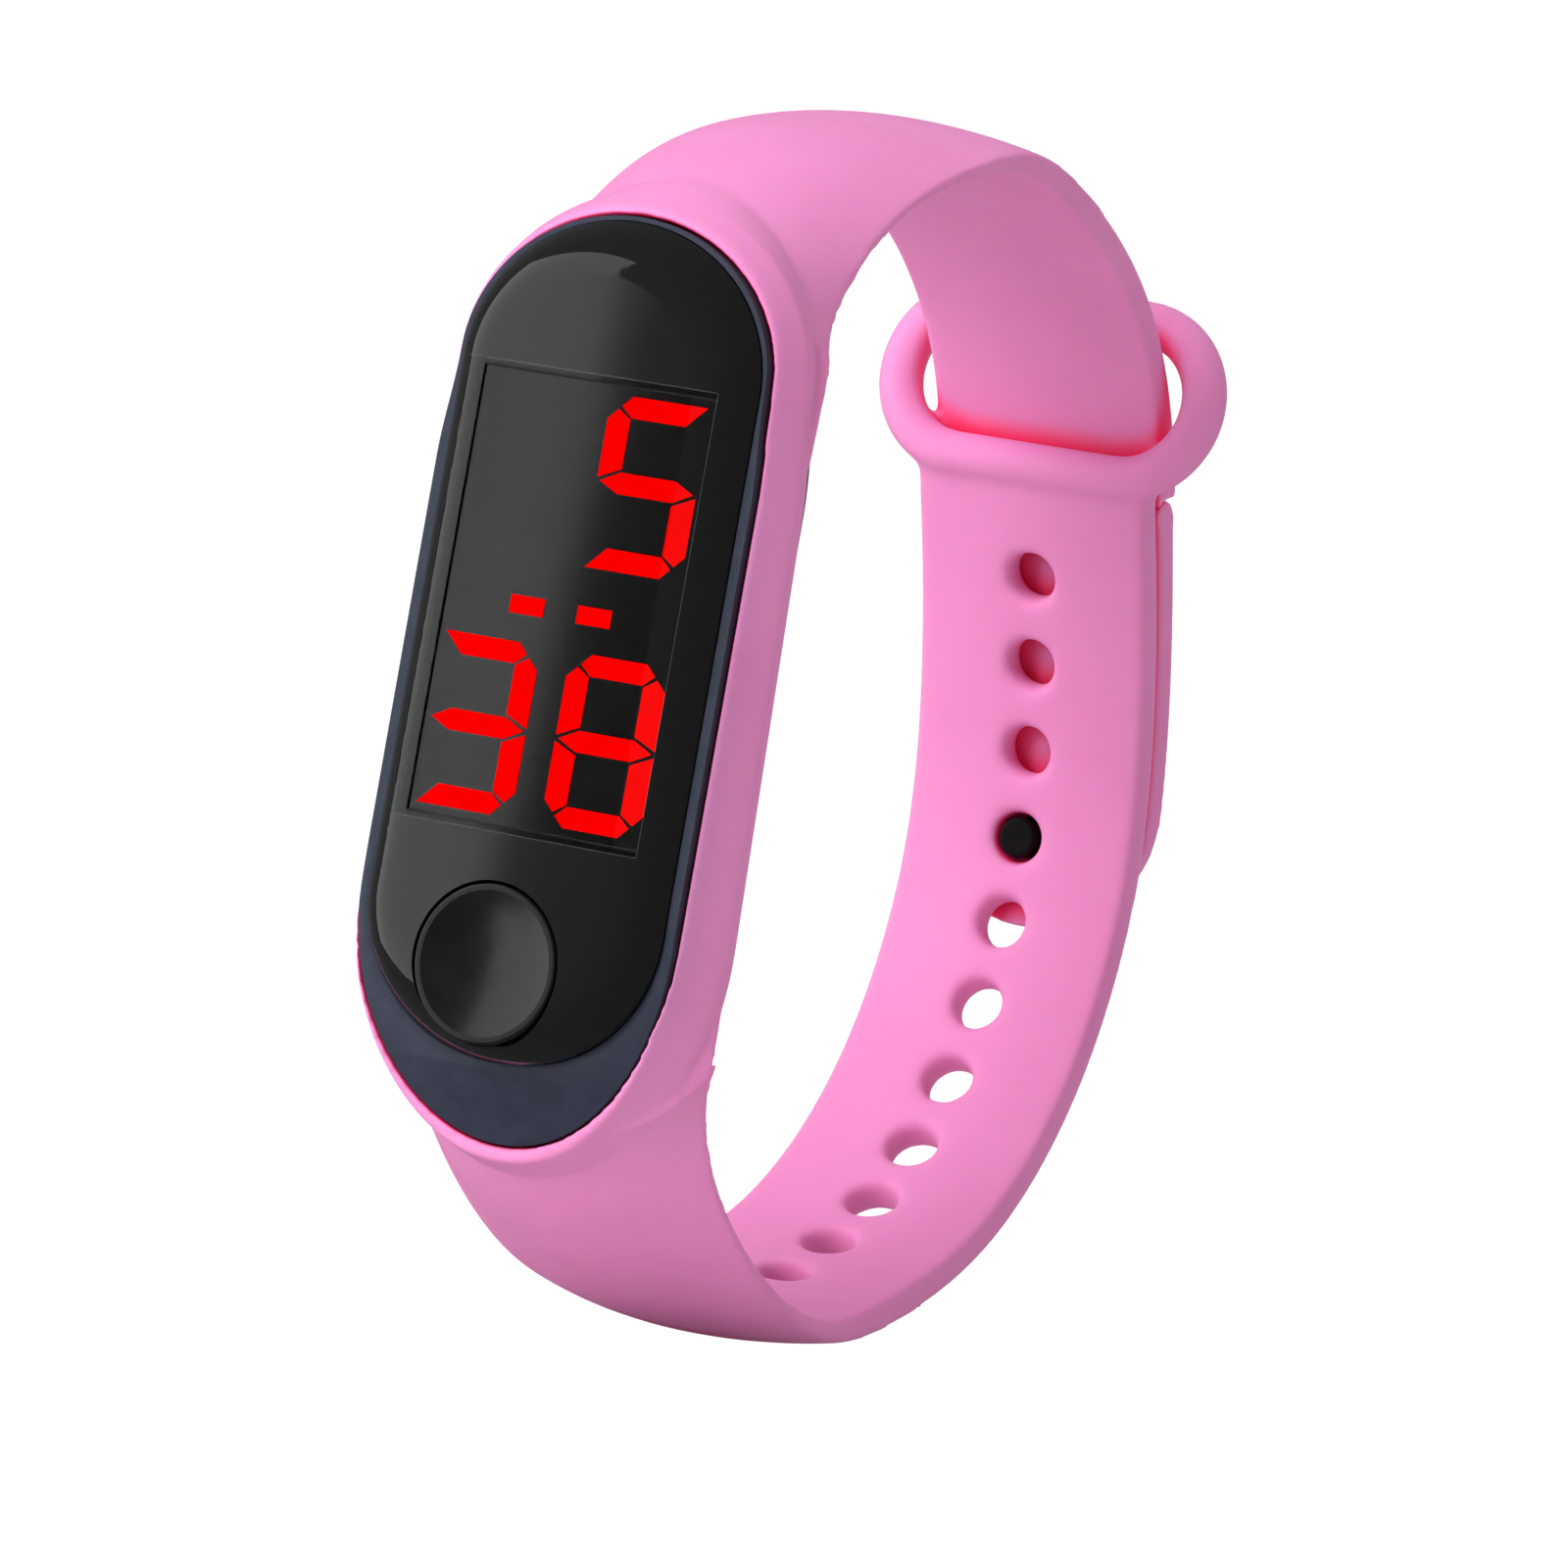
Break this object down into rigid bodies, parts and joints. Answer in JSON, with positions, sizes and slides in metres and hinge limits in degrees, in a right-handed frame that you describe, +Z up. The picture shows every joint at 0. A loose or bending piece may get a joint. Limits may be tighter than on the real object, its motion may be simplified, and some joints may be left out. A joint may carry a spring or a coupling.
{
  "type": "fitness tracker band",
  "caption": "Wrist band with a capsule tracker: domed smoked lens, red segment display, round button, silicone strap with keeper ring and stud.",
  "frame": {"origin": "centre of the wrist opening", "axes": "+X across the wrist opening, +Y from the screen through the wrist to the clasp (the screen faces -Y), +Z up along the capsule, with the button at the lower end"},
  "size_m": [0.0216, 0.0623, 0.0667],
  "materials": {
    "pink_silicone": "soft satin moulded silicone",
    "navy_case": "satin, fine grained",
    "smoked_lens": "polished, dark tinted",
    "button_black": "polished dish",
    "stud_black": "satin black",
    "led_red": "lit diffuser",
    "dark_diffuser": "unlit diffuser",
    "mask_black": "matte black",
    "frame_plastic": "moulded",
    "board_green": "solder mask",
    "chip_black": "moulded epoxy",
    "cell_steel": "brushed",
    "spring_steel": "rolled strip",
    "screw_steel": "turned",
    "seal_rubber": "matt"
  },
  "bodies": {
    "band": {"strap": "pink_silicone"},
    "tail": {"strap_tail": "pink_silicone", "stud_pin": "stud_black", "stud_cap": "stud_black"},
    "tracker": {"case_body": "navy_case", "lens": "smoked_lens", "lens_adhesive": "seal_rubber", "display_block": "mask_black", "hour_digit": "led_red", "minute_digits": "led_red", "colon_lights": "led_red", "unlit_segments": "dark_diffuser", "led_chips": "led_red", "pcb": "board_green", "mcu_chip": "chip_black", "clock_crystal": "cell_steel", "smd_parts": "chip_black", "switch_body": "chip_black", "battery_frame": "frame_plastic", "coin_cell": "cell_steel", "battery_contact_negative": "spring_steel", "battery_contact_positive": "spring_steel", "back_seal": "seal_rubber", "back_cover": "navy_case", "back_screws": "screw_steel"},
    "button": {"button_cap": "button_black", "switch_plunger": "chip_black"}
  },
  "joints": [
    {"name": "tail_bend", "type": "hinge", "parent": "band", "child": "tail", "pos_m": [0, 0.01998, 0.01501], "axis": [1, 0, 0], "range_deg": [0, 45], "stiffness_Nm_per_rad": 0.003},
    {"name": "tracker_release", "type": "slide", "parent": "band", "child": "tracker", "axis": [0, -1, 0], "range_m": [0, 0.012]},
    {"name": "button_press", "type": "slide", "parent": "tracker", "child": "button", "axis": [0, 1, 0], "range_m": [0, 0.0003], "stiffness_N_per_m": 1000}
  ]
}
